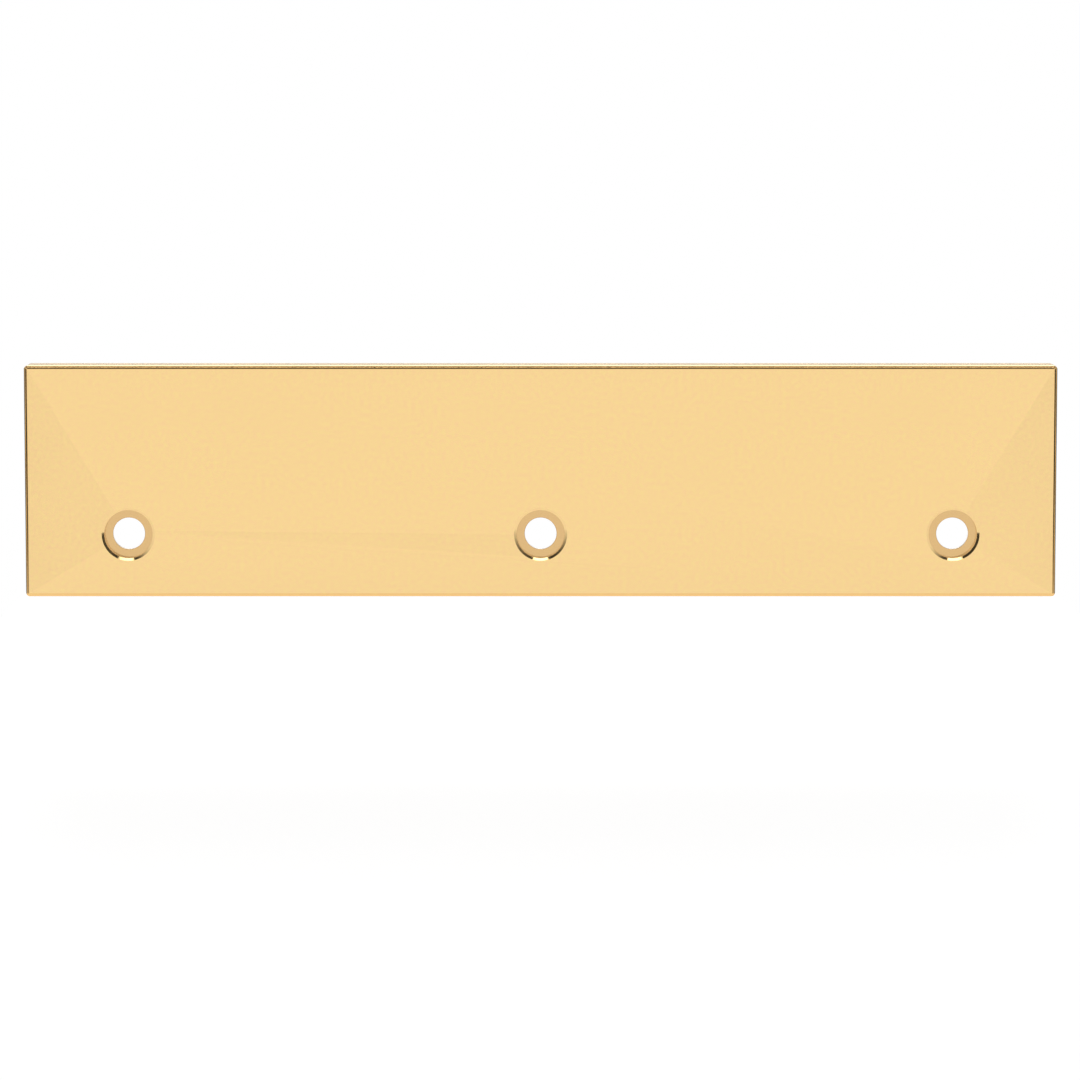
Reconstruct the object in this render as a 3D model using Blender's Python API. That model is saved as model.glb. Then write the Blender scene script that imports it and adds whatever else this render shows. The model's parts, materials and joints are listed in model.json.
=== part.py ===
"""Kick plate: one piece of brass with a square return along its top edge and three screw seats.

Metres, +Z up, +X along the plate, the front face towards -Y.
The origin is the middle of the sheet's back face.
"""

import math

import bmesh
import bpy

# Plate
PLATE_LENGTH = 0.200
PLATE_HEIGHT = 0.045
SHEET_THICKNESS = 0.0025
RETURN_DEPTH = 0.0075  # from the front face to the return's free edge
EDGE_RADIUS = 0.0007
EDGE_SEGMENTS = 4

# Screw seats: a flat-bottomed recess with a clearance hole through its thin floor
HOLE_PITCH = 0.080
HOLE_COUNT = 3
HOLE_ABOVE_BOTTOM = 0.0122
SEAT_DIAMETER = 0.0094
SEAT_DEPTH = 0.0016
BORE_DIAMETER = 0.0062
MOUTH_CHAMFER_WIDTH = 0.00045
MOUTH_CHAMFER_DEPTH = 0.00035
BORE_CHAMFER = 0.00005
ROUND_SEGMENTS = 48
CUTTER_REACH = 0.001  # how far a cutter runs past the sheet's back

FRONT_Y = -SHEET_THICKNESS
BACK_Y = 0.0
RETURN_END_Y = FRONT_Y + RETURN_DEPTH
TOP_Z = PLATE_HEIGHT / 2
BOTTOM_Z = -PLATE_HEIGHT / 2
HOLE_Z = BOTTOM_Z + HOLE_ABOVE_BOTTOM

BRASS_COLOUR = (0.85, 0.60, 0.27, 1.0)
BRASS_ROUGHNESS = 0.35
BRASS_METALLIC = 1.0


def clear_scene():
    for obj in list(bpy.data.objects):
        bpy.data.objects.remove(obj, do_unlink=True)


def satin_brass():
    material = bpy.data.materials.new("satin_brass")
    material.use_nodes = True
    shader = material.node_tree.nodes["Principled BSDF"]
    shader.inputs["Base Color"].default_value = BRASS_COLOUR
    shader.inputs["Roughness"].default_value = BRASS_ROUGHNESS
    shader.inputs["Metallic"].default_value = BRASS_METALLIC
    return material


def add_object(name, bm):
    bmesh.ops.recalc_face_normals(bm, faces=bm.faces)
    mesh = bpy.data.meshes.new(name)
    bm.to_mesh(mesh)
    bm.free()
    obj = bpy.data.objects.new(name, mesh)
    bpy.context.scene.collection.objects.link(obj)
    return obj


def folded_section():
    """The plate's cross-section as (y, z) points: a tall sheet with a return at its top, towards +Y."""
    return [
        (FRONT_Y, BOTTOM_Z),
        (BACK_Y, BOTTOM_Z),
        (BACK_Y, TOP_Z - SHEET_THICKNESS),
        (RETURN_END_Y, TOP_Z - SHEET_THICKNESS),
        (RETURN_END_Y, TOP_Z),
        (FRONT_Y, TOP_Z),
    ]


def folded_plate(material):
    """The section drawn out along X, with every edge slightly rounded."""
    bm = bmesh.new()
    corners = [bm.verts.new((-PLATE_LENGTH / 2, y, z)) for y, z in folded_section()]
    section = bm.faces.new(corners)
    drawn = bmesh.ops.extrude_face_region(bm, geom=[section], use_keep_orig=True)
    far_end = [item for item in drawn["geom"] if isinstance(item, bmesh.types.BMVert)]
    bmesh.ops.translate(bm, verts=far_end, vec=(PLATE_LENGTH, 0, 0))
    plate = add_object("plate", bm)
    plate.data.materials.append(material)

    rounding = plate.modifiers.new("edge_rounding", "BEVEL")
    rounding.width = EDGE_RADIUS
    rounding.segments = EDGE_SEGMENTS
    rounding.limit_method = "ANGLE"
    return plate


def seat_profile():
    """A screw seat's (radius, y) outline, from in front of the sheet to behind it.

    The mouth's chamfer is drawn out to twice its size, so that it cuts cleanly through the face.
    """
    seat = SEAT_DIAMETER / 2
    bore = BORE_DIAMETER / 2
    floor_y = FRONT_Y + SEAT_DEPTH
    return [
        (seat + 2 * MOUTH_CHAMFER_WIDTH, FRONT_Y - MOUTH_CHAMFER_DEPTH),
        (seat, FRONT_Y + MOUTH_CHAMFER_DEPTH),
        (seat, floor_y),
        (bore + BORE_CHAMFER, floor_y),
        (bore, floor_y + BORE_CHAMFER),
        (bore, BACK_Y + CUTTER_REACH),
    ]


def seat_cutter(name, x):
    """A closed round cutter for one screw seat, turned about an axis along Y at (x, HOLE_Z)."""
    bm = bmesh.new()
    rings = []
    for radius, y in seat_profile():
        ring = []
        for step in range(ROUND_SEGMENTS):
            angle = 2 * math.pi * step / ROUND_SEGMENTS
            across = radius * math.cos(angle)
            up = radius * math.sin(angle)
            ring.append(bm.verts.new((x + across, y, HOLE_Z + up)))
        rings.append(ring)
    for ring, following in zip(rings, rings[1:]):
        for step in range(ROUND_SEGMENTS):
            after = (step + 1) % ROUND_SEGMENTS
            bm.faces.new((ring[step], ring[after], following[after], following[step]))
    bm.faces.new(rings[0])
    bm.faces.new(rings[-1])
    cutter = add_object(name, bm)
    cutter.hide_render = True
    cutter.display_type = "WIRE"
    return cutter


def cut(obj, cutter):
    modifier = obj.modifiers.new(cutter.name, "BOOLEAN")
    modifier.operation = "DIFFERENCE"
    modifier.solver = "EXACT"
    modifier.object = cutter


def main():
    clear_scene()
    plate = folded_plate(satin_brass())
    first_x = -HOLE_PITCH * (HOLE_COUNT - 1) / 2
    for number in range(HOLE_COUNT):
        cut(plate, seat_cutter(f"seat_cutter_{number + 1}", first_x + number * HOLE_PITCH))
    plate.data.shade_smooth()
    plate.data.set_sharp_from_angle(angle=math.radians(30))


main()
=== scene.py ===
"""Looks for the kick plate: a finely meshed plate in satin brass around the CAD frame, on a pale stage.

Metres and Z up, as in the CAD.
"""

import json
import math

import bmesh
import bpy
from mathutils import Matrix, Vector


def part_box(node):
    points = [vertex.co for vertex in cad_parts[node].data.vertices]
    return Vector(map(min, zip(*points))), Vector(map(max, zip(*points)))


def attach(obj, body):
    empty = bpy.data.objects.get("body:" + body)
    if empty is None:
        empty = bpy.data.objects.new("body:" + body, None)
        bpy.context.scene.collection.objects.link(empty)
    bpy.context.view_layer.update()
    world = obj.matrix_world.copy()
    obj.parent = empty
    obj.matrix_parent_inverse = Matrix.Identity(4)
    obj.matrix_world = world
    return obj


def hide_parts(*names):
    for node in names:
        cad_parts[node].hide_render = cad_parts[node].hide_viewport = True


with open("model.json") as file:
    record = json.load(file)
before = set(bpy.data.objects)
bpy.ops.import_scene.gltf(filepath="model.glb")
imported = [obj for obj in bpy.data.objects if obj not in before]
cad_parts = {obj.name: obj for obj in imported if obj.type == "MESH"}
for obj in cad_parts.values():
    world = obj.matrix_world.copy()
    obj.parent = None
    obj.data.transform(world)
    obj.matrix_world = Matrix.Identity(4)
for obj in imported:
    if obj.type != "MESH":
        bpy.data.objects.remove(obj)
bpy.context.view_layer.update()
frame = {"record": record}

# The plate's sizes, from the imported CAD
LOW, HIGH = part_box("plate")
BACK_Y = 0.0
SHEET_THICKNESS = BACK_Y - LOW.y
MOUNTS = {mount["name"]: Vector(mount["pos_m"]) for mount in frame["record"]["mounts"]}
SEATS = [MOUNTS["left_seat"], MOUNTS["middle_seat"], MOUNTS["right_seat"]]

# Sizes that the frame doesn't state, as in the CAD
EDGE_RADIUS = 0.0007
SEAT_RADIUS = 0.0047
MOUTH_CHAMFER_WIDTH = 0.00045
MOUTH_CHAMFER_DEPTH = 0.00035
BORE_RADIUS = 0.0031
BORE_CHAMFER = 0.00005
SEAT_MOUNT_ABOVE_AXIS = 0.0039

# Fineness of the mesh
EDGE_SEGMENTS = 8
ROUND_SEGMENTS = 144
CUTTER_REACH = 0.001  # how far a cutter runs past the sheet's back
SHARP_ANGLE = math.radians(30)

# The brass mottle runs between a yellow and a rose
SATIN_YELLOW = (0.940, 0.688, 0.302)
SATIN_ROSE = (0.937, 0.642, 0.311)
# The rounded outer edges take a darker, deeper brass than the sheet: painted shade that darkens the
# edge lines.
EDGE_SHADE_YELLOW = (0.92, 0.60, 0.24)
EDGE_SHADE_ROSE = (0.91, 0.57, 0.24)
# The seat floors take a brass about a fifth darker than the sheet: painted shade in the recesses.
SEAT_SHADE_YELLOW = (0.748, 0.500, 0.222)
SEAT_SHADE_ROSE = (0.740, 0.484, 0.225)
# The seat walls take a paler, whiter brass than the sheet, so that their reflections come out brighter:
# a painted highlight.
WALL_HIGHLIGHT_YELLOW = (0.95, 0.82, 0.62)
WALL_HIGHLIGHT_ROSE = (0.95, 0.80, 0.62)

# Finish of each zone of the plate: yellow, rose and roughness. The seat floor and outer edge colours
# hold painted shade, and the seat wall colours a painted highlight.
SHEET = "satin_brass"
SHADED_SEAT_FLOOR = "seat_floor_painted_shade"
HIGHLIT_SEAT_WALL = "seat_wall_painted_highlight"
SHADED_OUTER_EDGE = "edge_brass_painted_shade"
SEAT_RIM = "rim_brass"
FINISHES_AND_PAINTED_LIGHT = {
    SHEET: (SATIN_YELLOW, SATIN_ROSE, 0.22),
    SHADED_SEAT_FLOOR: (SEAT_SHADE_YELLOW, SEAT_SHADE_ROSE, 0.15),
    HIGHLIT_SEAT_WALL: (WALL_HIGHLIGHT_YELLOW, WALL_HIGHLIGHT_ROSE, 0.25),
    SHADED_OUTER_EDGE: (EDGE_SHADE_YELLOW, EDGE_SHADE_ROSE, 0.15),
    SEAT_RIM: (SATIN_YELLOW, SATIN_ROSE, 0.13),
}

# Noise textures, as waves per metre, and what they do
NOISE_RANGE = (0.3, 0.7)  # where nearly all of a noise texture's values lie
MOTTLE_SCALE = 1200.0
FINE_SCALE = 1600.0
FINE_ROUGHNESS = 0.025
BROAD_SCALE = 45.0
BROAD_ROUGHNESS = 0.02
RELIEF_SCALE = 2500.0
RELIEF_STRENGTH = 0.06
RELIEF_DEPTH = 0.00002

# How a face's normal tells its zone
FACES_BACK_OR_FRONT = 0.5
FLAT_ENOUGH = 0.999

# Stage
FLOOR_BELOW_PLATE = 0.030
FLOOR_SIZE = (0.26, 0.60)
FLOOR_COLOUR = (0.1, 0.1, 0.1, 1.0)
FLOOR_ROUGHNESS = 0.8
FLOOR_GLOW = 0.905
WHITE = (1.0, 1.0, 1.0, 1.0)

# Studio light: how bright each soft box is
FRONT_LIGHT = 0.965
LOW_BACK_LIGHT = 0.95
BACK_LIGHT = 0.60
RAISED_BACK_LIGHT = 3.5
SIDE_LIGHT = 0.9
CORNER_LIGHT = 0.75
OVERHEAD_LIGHT = 3.0
GLOOM = 0.04

# Studio light: where the boxes fade, as (start, end) along a part of the unit direction.
# Widths are in x without its sign, depths in y and heights in z.
SIDE_WIDTH = (0.32, 0.50)
BEHIND_DEPTH = (-0.1, 0.1)
LOW_HEIGHT = (0.18, 0.36)
LOW_BACK_HEIGHT = (0.0, 0.05)
RAISED_BACK_WIDTH = (0.20, 0.28)
RAISED_BACK_HEIGHT = ((0.28, 0.38), (0.80, 0.87))
SIDE_DEPTH = ((-0.33, -0.22), (0.00, 0.10))
SIDE_FOOT = (-0.36, -0.14)
SIDE_TOP = (0.72, 0.90)
CORNER_WIDTH = (0.25, 0.40)
CORNER_BACK_DEPTH = (0.25, 0.40)
CORNER_FRONT_DEPTH = (-0.60, -0.46)
CORNER_HEIGHT = ((0.16, 0.24), (0.85, 0.95))
OVERHEAD_WIDTH = (0.30, 0.32)
OVERHEAD_DEPTH = ((-0.42, -0.40), (-0.29, -0.27))
OVERHEAD_HEIGHT = (0.85, 0.90)

# Camera
CAMERA_PLACE = (-0.00012, -0.750, 0.0816)
CAMERA_PITCH_DEG = 4.70
CAMERA_LENS_MM = 129.3
CAMERA_SHIFT_Y = -0.1500
CAMERA_NEAR = 0.01
CAMERA_FAR = 20.0


# ---------------------------------------------------------------- plate mesh

def new_object(name, bm):
    bmesh.ops.recalc_face_normals(bm, faces=bm.faces)
    mesh = bpy.data.meshes.new(name)
    bm.to_mesh(mesh)
    bm.free()
    obj = bpy.data.objects.new(name, mesh)
    bpy.context.scene.collection.objects.link(obj)
    return obj


def folded_blank():
    """The plate without holes: its section drawn out along X, every edge rounded."""
    section = [
        (LOW.y, LOW.z),
        (BACK_Y, LOW.z),
        (BACK_Y, HIGH.z - SHEET_THICKNESS),
        (HIGH.y, HIGH.z - SHEET_THICKNESS),
        (HIGH.y, HIGH.z),
        (LOW.y, HIGH.z),
    ]
    bm = bmesh.new()
    corners = [bm.verts.new((LOW.x, y, z)) for y, z in section]
    end_face = bm.faces.new(corners)
    drawn = bmesh.ops.extrude_face_region(bm, geom=[end_face], use_keep_orig=True)
    far_end = [item for item in drawn["geom"] if isinstance(item, bmesh.types.BMVert)]
    bmesh.ops.translate(bm, verts=far_end, vec=(HIGH.x - LOW.x, 0, 0))
    blank = new_object("kick_plate", bm)
    rounding = blank.modifiers.new("edge_rounding", "BEVEL")
    rounding.width = EDGE_RADIUS
    rounding.segments = EDGE_SEGMENTS
    rounding.limit_method = "ANGLE"
    return blank


def seat_profile(seat):
    """A screw seat's (radius, y) outline, from in front of the sheet to behind it.

    The mouth's chamfer is drawn out to twice its size, so that it cuts cleanly through the face.
    """
    return [
        (SEAT_RADIUS + 2 * MOUTH_CHAMFER_WIDTH, LOW.y - MOUTH_CHAMFER_DEPTH),
        (SEAT_RADIUS, LOW.y + MOUTH_CHAMFER_DEPTH),
        (SEAT_RADIUS, seat.y),
        (BORE_RADIUS + BORE_CHAMFER, seat.y),
        (BORE_RADIUS, seat.y + BORE_CHAMFER),
        (BORE_RADIUS, BACK_Y + CUTTER_REACH),
    ]


def seat_cutter(seat):
    """A turned cutter for one screw seat and its bore."""
    axis_z = seat.z - SEAT_MOUNT_ABOVE_AXIS
    bm = bmesh.new()
    rings = []
    for radius, y in seat_profile(seat):
        ring = []
        for step in range(ROUND_SEGMENTS):
            angle = 2 * math.pi * step / ROUND_SEGMENTS
            across = radius * math.cos(angle)
            up = radius * math.sin(angle)
            ring.append(bm.verts.new((seat.x + across, y, axis_z + up)))
        rings.append(ring)
    for ring, following in zip(rings, rings[1:]):
        for step in range(ROUND_SEGMENTS):
            after = (step + 1) % ROUND_SEGMENTS
            bm.faces.new((ring[step], ring[after], following[after], following[step]))
    bm.faces.new(rings[0])
    bm.faces.new(rings[-1])
    return new_object("seat_cutter", bm)


def drilled_plate():
    """The finished plate, with its modifiers applied."""
    plate = folded_blank()
    cutters = [seat_cutter(seat) for seat in SEATS]
    for cutter in cutters:
        cut = plate.modifiers.new("seat", "BOOLEAN")
        cut.operation = "DIFFERENCE"
        cut.solver = "EXACT"
        cut.object = cutter
    graph = bpy.context.evaluated_depsgraph_get()
    finished = bpy.data.meshes.new_from_object(plate.evaluated_get(graph))
    plate.modifiers.clear()
    plate.data = finished
    for cutter in cutters:
        bpy.data.objects.remove(cutter, do_unlink=True)
    finished.shade_smooth()
    finished.set_sharp_from_angle(angle=SHARP_ANGLE)
    return plate


# ---------------------------------------------------------------- shader nodes

def feed(tree, socket, value):
    """Link value to the socket if it is a node's output, or else set it as a constant."""
    if isinstance(value, bpy.types.NodeSocket):
        tree.links.new(value, socket)
    else:
        socket.default_value = value


def math_node(tree, operation, *values):
    node = tree.nodes.new("ShaderNodeMath")
    node.operation = operation
    for socket, value in zip(node.inputs, values):
        feed(tree, socket, value)
    return node.outputs[0]


def product(tree, *factors):
    total = factors[0]
    for factor in factors[1:]:
        total = math_node(tree, "MULTIPLY", total, factor)
    return total


def noise(tree, coordinates, scale):
    node = tree.nodes.new("ShaderNodeTexNoise")
    node.inputs["Scale"].default_value = scale
    tree.links.new(coordinates, node.inputs["Vector"])
    return node.outputs["Fac"]


def map_range(tree, value, source, low, high, interpolation):
    """value, mapped from the (start, end) of source to low..high, and held at them outside it."""
    node = tree.nodes.new("ShaderNodeMapRange")
    node.interpolation_type = interpolation
    node.inputs["From Min"].default_value = source[0]
    node.inputs["From Max"].default_value = source[1]
    node.inputs["To Min"].default_value = low
    node.inputs["To Max"].default_value = high
    tree.links.new(value, node.inputs["Value"])
    return node.outputs["Result"]


def spread(tree, noise_value, low, high):
    return map_range(tree, noise_value, NOISE_RANGE, low, high, "LINEAR")


def ease(tree, value, span, low, high):
    """low before the span, high after it, with a smooth step between."""
    return map_range(tree, value, span, low, high, "SMOOTHSTEP")


def fade_in(tree, value, span):
    return ease(tree, value, span, 0.0, 1.0)


def fade_out(tree, value, span):
    return ease(tree, value, span, 1.0, 0.0)


def window(tree, value, spans):
    """1 between the two spans, and 0 outside them."""
    rise, fall = spans
    return product(tree, fade_in(tree, value, rise), fade_out(tree, value, fall))


def mix_colour(tree, factor, first, second):
    node = tree.nodes.new("ShaderNodeMix")
    node.data_type = "RGBA"
    feed(tree, node.inputs[0], factor)
    feed(tree, node.inputs[6], first)
    feed(tree, node.inputs[7], second)
    return node.outputs[2]


# ---------------------------------------------------------------- materials

def new_material(name):
    material = bpy.data.materials.new(name)
    material.use_nodes = True
    return material, material.node_tree, material.node_tree.nodes["Principled BSDF"]


def satin_brass(name, yellow, rose, roughness):
    """Satin brass: a fine blasted mottle in colour, roughness and relief."""
    material, tree, shader = new_material(name)
    place = tree.nodes.new("ShaderNodeTexCoord").outputs["Object"]
    mottle = spread(tree, noise(tree, place, MOTTLE_SCALE), 0, 1)
    colour = mix_colour(tree, mottle, (*yellow, 1.0), (*rose, 1.0))
    tree.links.new(colour, shader.inputs["Base Color"])
    shader.inputs["Metallic"].default_value = 1.0

    fine_noise = noise(tree, place, FINE_SCALE)
    fine = spread(tree, fine_noise, -FINE_ROUGHNESS, FINE_ROUGHNESS)
    broad_noise = noise(tree, place, BROAD_SCALE)
    broad = spread(tree, broad_noise, roughness - BROAD_ROUGHNESS, roughness + BROAD_ROUGHNESS)
    tree.links.new(math_node(tree, "ADD", fine, broad), shader.inputs["Roughness"])

    relief = tree.nodes.new("ShaderNodeBump")
    relief.inputs["Strength"].default_value = RELIEF_STRENGTH
    relief.inputs["Distance"].default_value = RELIEF_DEPTH
    tree.links.new(noise(tree, place, RELIEF_SCALE), relief.inputs["Height"])
    tree.links.new(relief.outputs["Normal"], shader.inputs["Normal"])
    return material


def zone(centre, normal):
    """The zone material that a face takes, from where it is and which way it faces; the seat floor and
    outer edge zones carry painted shade, the seat wall zone a painted highlight.
    """
    for seat in SEATS:
        above_axis = centre.z - seat.z + SEAT_MOUNT_ABOVE_AXIS
        radius = math.hypot(centre.x - seat.x, above_axis)
        if radius > SEAT_RADIUS + MOUTH_CHAMFER_WIDTH:
            continue
        if centre.y < LOW.y + MOUTH_CHAMFER_DEPTH:
            return SEAT_RIM
        if normal.y > FACES_BACK_OR_FRONT:
            return SHEET
        if normal.y < -FACES_BACK_OR_FRONT:
            return SHADED_SEAT_FLOOR
        return HIGHLIT_SEAT_WALL
    flat = max(abs(part) for part in normal) > FLAT_ENOUGH
    return SHEET if flat else SHADED_OUTER_EDGE


def paint_plate(plate):
    """Give every face the material of its zone, painted shade and painted highlight included."""
    plate.data.materials.clear()
    for name, (yellow, rose, roughness) in FINISHES_AND_PAINTED_LIGHT.items():
        plate.data.materials.append(satin_brass(name, yellow, rose, roughness))
    slots = {name: number for number, name in enumerate(FINISHES_AND_PAINTED_LIGHT)}
    for face in plate.data.polygons:
        face.material_index = slots[zone(face.center, face.normal)]


# ---------------------------------------------------------------- stage, light and camera

def pale_floor():
    bm = bmesh.new()
    width, depth = FLOOR_SIZE
    z = LOW.z - FLOOR_BELOW_PLATE
    corners = [
        (-width / 2, -depth / 2),
        (width / 2, -depth / 2),
        (width / 2, depth / 2),
        (-width / 2, depth / 2),
    ]
    bm.faces.new([bm.verts.new((x, y, z)) for x, y in corners])
    floor = new_object("floor", bm)
    material, _, shader = new_material("pale_floor")
    shader.inputs["Base Color"].default_value = FLOOR_COLOUR
    shader.inputs["Roughness"].default_value = FLOOR_ROUGHNESS
    shader.inputs["Emission Color"].default_value = WHITE
    shader.inputs["Emission Strength"].default_value = FLOOR_GLOW
    floor.data.materials.append(material)


def soft_boxes(tree):
    """The light that comes from each direction: soft boxes all round, and gloom between them."""
    direction = tree.nodes.new("ShaderNodeSeparateXYZ")
    coordinates = tree.nodes.new("ShaderNodeTexCoord")
    tree.links.new(coordinates.outputs["Generated"], direction.inputs[0])
    x, y, z = direction.outputs
    sideways = math_node(tree, "ABSOLUTE", x)
    ahead = fade_out(tree, sideways, SIDE_WIDTH)
    aside = fade_in(tree, sideways, SIDE_WIDTH)
    behind = fade_in(tree, y, BEHIND_DEPTH)
    in_front = fade_out(tree, y, BEHIND_DEPTH)
    low_down = fade_out(tree, z, LOW_HEIGHT)

    front = product(tree, ahead, in_front, low_down, FRONT_LIGHT)

    back_light = ease(tree, z, LOW_BACK_HEIGHT, LOW_BACK_LIGHT, BACK_LIGHT)
    back = product(tree, ahead, behind, low_down, back_light)

    narrow = fade_out(tree, sideways, RAISED_BACK_WIDTH)
    raised = window(tree, z, RAISED_BACK_HEIGHT)
    raised_back = product(tree, behind, narrow, raised, RAISED_BACK_LIGHT)

    side_height = window(tree, z, (SIDE_FOOT, SIDE_TOP))
    side = product(tree, aside, window(tree, y, SIDE_DEPTH), side_height, SIDE_LIGHT)
    low_side = product(tree, aside, fade_out(tree, z, SIDE_FOOT), SIDE_LIGHT)

    far_back = fade_in(tree, y, CORNER_BACK_DEPTH)
    far_front = fade_out(tree, y, CORNER_FRONT_DEPTH)
    off_middle = math_node(tree, "ADD", far_back, far_front)
    corner_width = fade_in(tree, sideways, CORNER_WIDTH)
    corner_height = window(tree, z, CORNER_HEIGHT)
    corners = product(tree, corner_width, off_middle, corner_height, CORNER_LIGHT)

    box_width = fade_out(tree, sideways, OVERHEAD_WIDTH)
    box_depth = window(tree, y, OVERHEAD_DEPTH)
    box_height = fade_in(tree, z, OVERHEAD_HEIGHT)
    overhead = product(tree, box_width, box_depth, box_height, OVERHEAD_LIGHT)

    total = GLOOM
    for part in (front, back, raised_back, side, low_side, corners, overhead):
        total = math_node(tree, "ADD", total, part)
    return total


def studio_light():
    """A world that is plain white to the camera and a room of soft boxes to the metal."""
    world = bpy.data.worlds.new("studio")
    bpy.context.scene.world = world
    world.use_nodes = True
    tree = world.node_tree
    tree.nodes.clear()
    studio = tree.nodes.new("ShaderNodeBackground")
    studio.inputs["Color"].default_value = WHITE
    tree.links.new(soft_boxes(tree), studio.inputs["Strength"])
    backdrop = tree.nodes.new("ShaderNodeBackground")
    backdrop.inputs["Color"].default_value = WHITE
    ray = tree.nodes.new("ShaderNodeLightPath")
    chosen = tree.nodes.new("ShaderNodeMixShader")
    tree.links.new(ray.outputs["Is Camera Ray"], chosen.inputs[0])
    tree.links.new(studio.outputs[0], chosen.inputs[1])
    tree.links.new(backdrop.outputs[0], chosen.inputs[2])
    output = tree.nodes.new("ShaderNodeOutputWorld")
    tree.links.new(chosen.outputs[0], output.inputs[0])
    bpy.context.scene.view_settings.view_transform = "Standard"


def photo_camera():
    data = bpy.data.cameras.new("camera")
    data.lens = CAMERA_LENS_MM
    data.shift_y = CAMERA_SHIFT_Y
    data.clip_start = CAMERA_NEAR
    data.clip_end = CAMERA_FAR
    camera = bpy.data.objects.new("camera", data)
    camera.location = CAMERA_PLACE
    camera.rotation_euler = (math.radians(90 - CAMERA_PITCH_DEG), 0, 0)
    bpy.context.scene.collection.objects.link(camera)
    bpy.context.scene.camera = camera


plate = drilled_plate()
paint_plate(plate)
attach(plate, "root")
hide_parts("plate")
pale_floor()
studio_light()
photo_camera()
